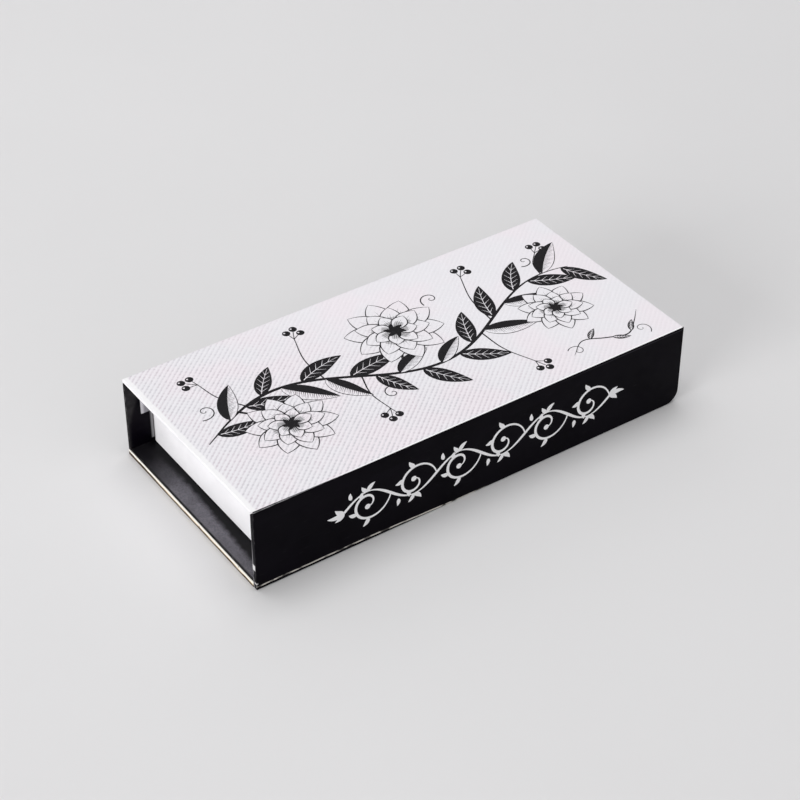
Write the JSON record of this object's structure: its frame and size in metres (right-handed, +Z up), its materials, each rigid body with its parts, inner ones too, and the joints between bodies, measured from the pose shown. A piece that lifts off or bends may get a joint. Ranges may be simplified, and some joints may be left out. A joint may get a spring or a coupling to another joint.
{
  "type": "eyeshadow box",
  "caption": "Book-style rigid paperboard eyeshadow box with hinged lid and mirror, magnetic front flap, and a tray of pressed powder pans with a lift-out brush.",
  "frame": {"origin": "on the table, under the middle of the closed case", "axes": "+X to the right along the length seen from the front, +Z up through the lid, front flap at -Y, lid hinge at +Y"},
  "size_m": [0.19, 0.0914, 0.035],
  "materials": {
    "white_ribbed_paper": "matt paper with fine diagonal ribs on board",
    "black_coated_paper": "black coated paper on board, satin",
    "pale_edge_paper": "matt pale paper on board",
    "black_glossy_paper": "glossy black paper",
    "white_lining_paper": "smooth white paper",
    "black_lining_paper": "satin black paper on board",
    "white_tray_paper": "smooth white paper on board",
    "grey_board": "raw grey board",
    "black_foam": "dense matt black foam",
    "tinned_steel": "tinned steel",
    "magnet_nickel": "nickel-plated magnet",
    "mirror_glass": "mirror",
    "black_lacquer": "glossy black lacquer",
    "rose_ferrule": "polished rose-gold aluminium",
    "brown_hair": "soft synthetic hair",
    "white_sponge": "fine soft foam",
    "powder_01": "pressed powder, matt",
    "powder_02": "pressed powder, matt",
    "powder_03": "pressed powder, matt",
    "powder_04": "pressed powder, matt",
    "powder_05": "pressed powder, matt",
    "powder_06": "pressed powder, matt",
    "powder_07": "pressed powder, matt",
    "powder_08": "pressed powder, matt",
    "powder_09": "pressed powder, matt",
    "powder_10": "pressed powder, matt"
  },
  "bodies": {
    "case": {"base_board": "pale_edge_paper", "base_liner": "black_glossy_paper", "spine_board": "black_coated_paper", "spine_strip": "white_lining_paper", "tray_floor": "white_tray_paper", "tray_front_wall": "white_tray_paper", "tray_back_wall": "white_tray_paper", "tray_left_wall": "white_tray_paper", "tray_right_wall": "white_tray_paper", "well_wall": "black_lining_paper", "riser_front": "grey_board", "riser_back": "grey_board", "pan_bed": "grey_board", "pan_deck": "black_foam", "brush_bed": "black_foam", "strike_disc_left": "tinned_steel", "strike_disc_right": "tinned_steel", "pan_01": "tinned_steel", "pan_02": "tinned_steel", "pan_03": "tinned_steel", "pan_04": "tinned_steel", "pan_05": "tinned_steel", "pan_06": "tinned_steel", "pan_07": "tinned_steel", "pan_08": "tinned_steel", "pan_09": "tinned_steel", "pan_10": "tinned_steel", "powder_01": "powder_01", "powder_02": "powder_02", "powder_03": "powder_03", "powder_04": "powder_04", "powder_05": "powder_05", "powder_06": "powder_06", "powder_07": "powder_07", "powder_08": "powder_08", "powder_09": "powder_09", "powder_10": "powder_10"},
    "lid": {"lid_board": "white_ribbed_paper", "lid_liner": "white_lining_paper", "mirror_frame": "black_lining_paper", "mirror": "mirror_glass"},
    "flap": {"flap_board": "black_coated_paper", "flap_liner": "black_lining_paper", "magnet_left": "magnet_nickel", "magnet_right": "magnet_nickel"},
    "brush": {"brush_handle": "black_lacquer", "hair_ferrule": "rose_ferrule", "hair_tuft": "brown_hair", "sponge_ferrule": "rose_ferrule", "sponge_tip": "white_sponge"}
  },
  "joints": [
    {"name": "lid_hinge", "type": "hinge", "parent": "case", "child": "lid", "pos_m": [0, 0.04585, 0.03345], "axis": [-1, 0, 0], "range_deg": [0, 180]},
    {"name": "flap_hinge", "type": "hinge", "parent": "lid", "child": "flap", "pos_m": [0, -0.0457, 0.035], "axis": [-1, 0, 0], "range_deg": [0, 120]},
    {"name": "brush_lift", "type": "slide", "parent": "case", "child": "brush", "axis": [0, 0, 1], "range_m": [0, 0.0128]}
  ]
}
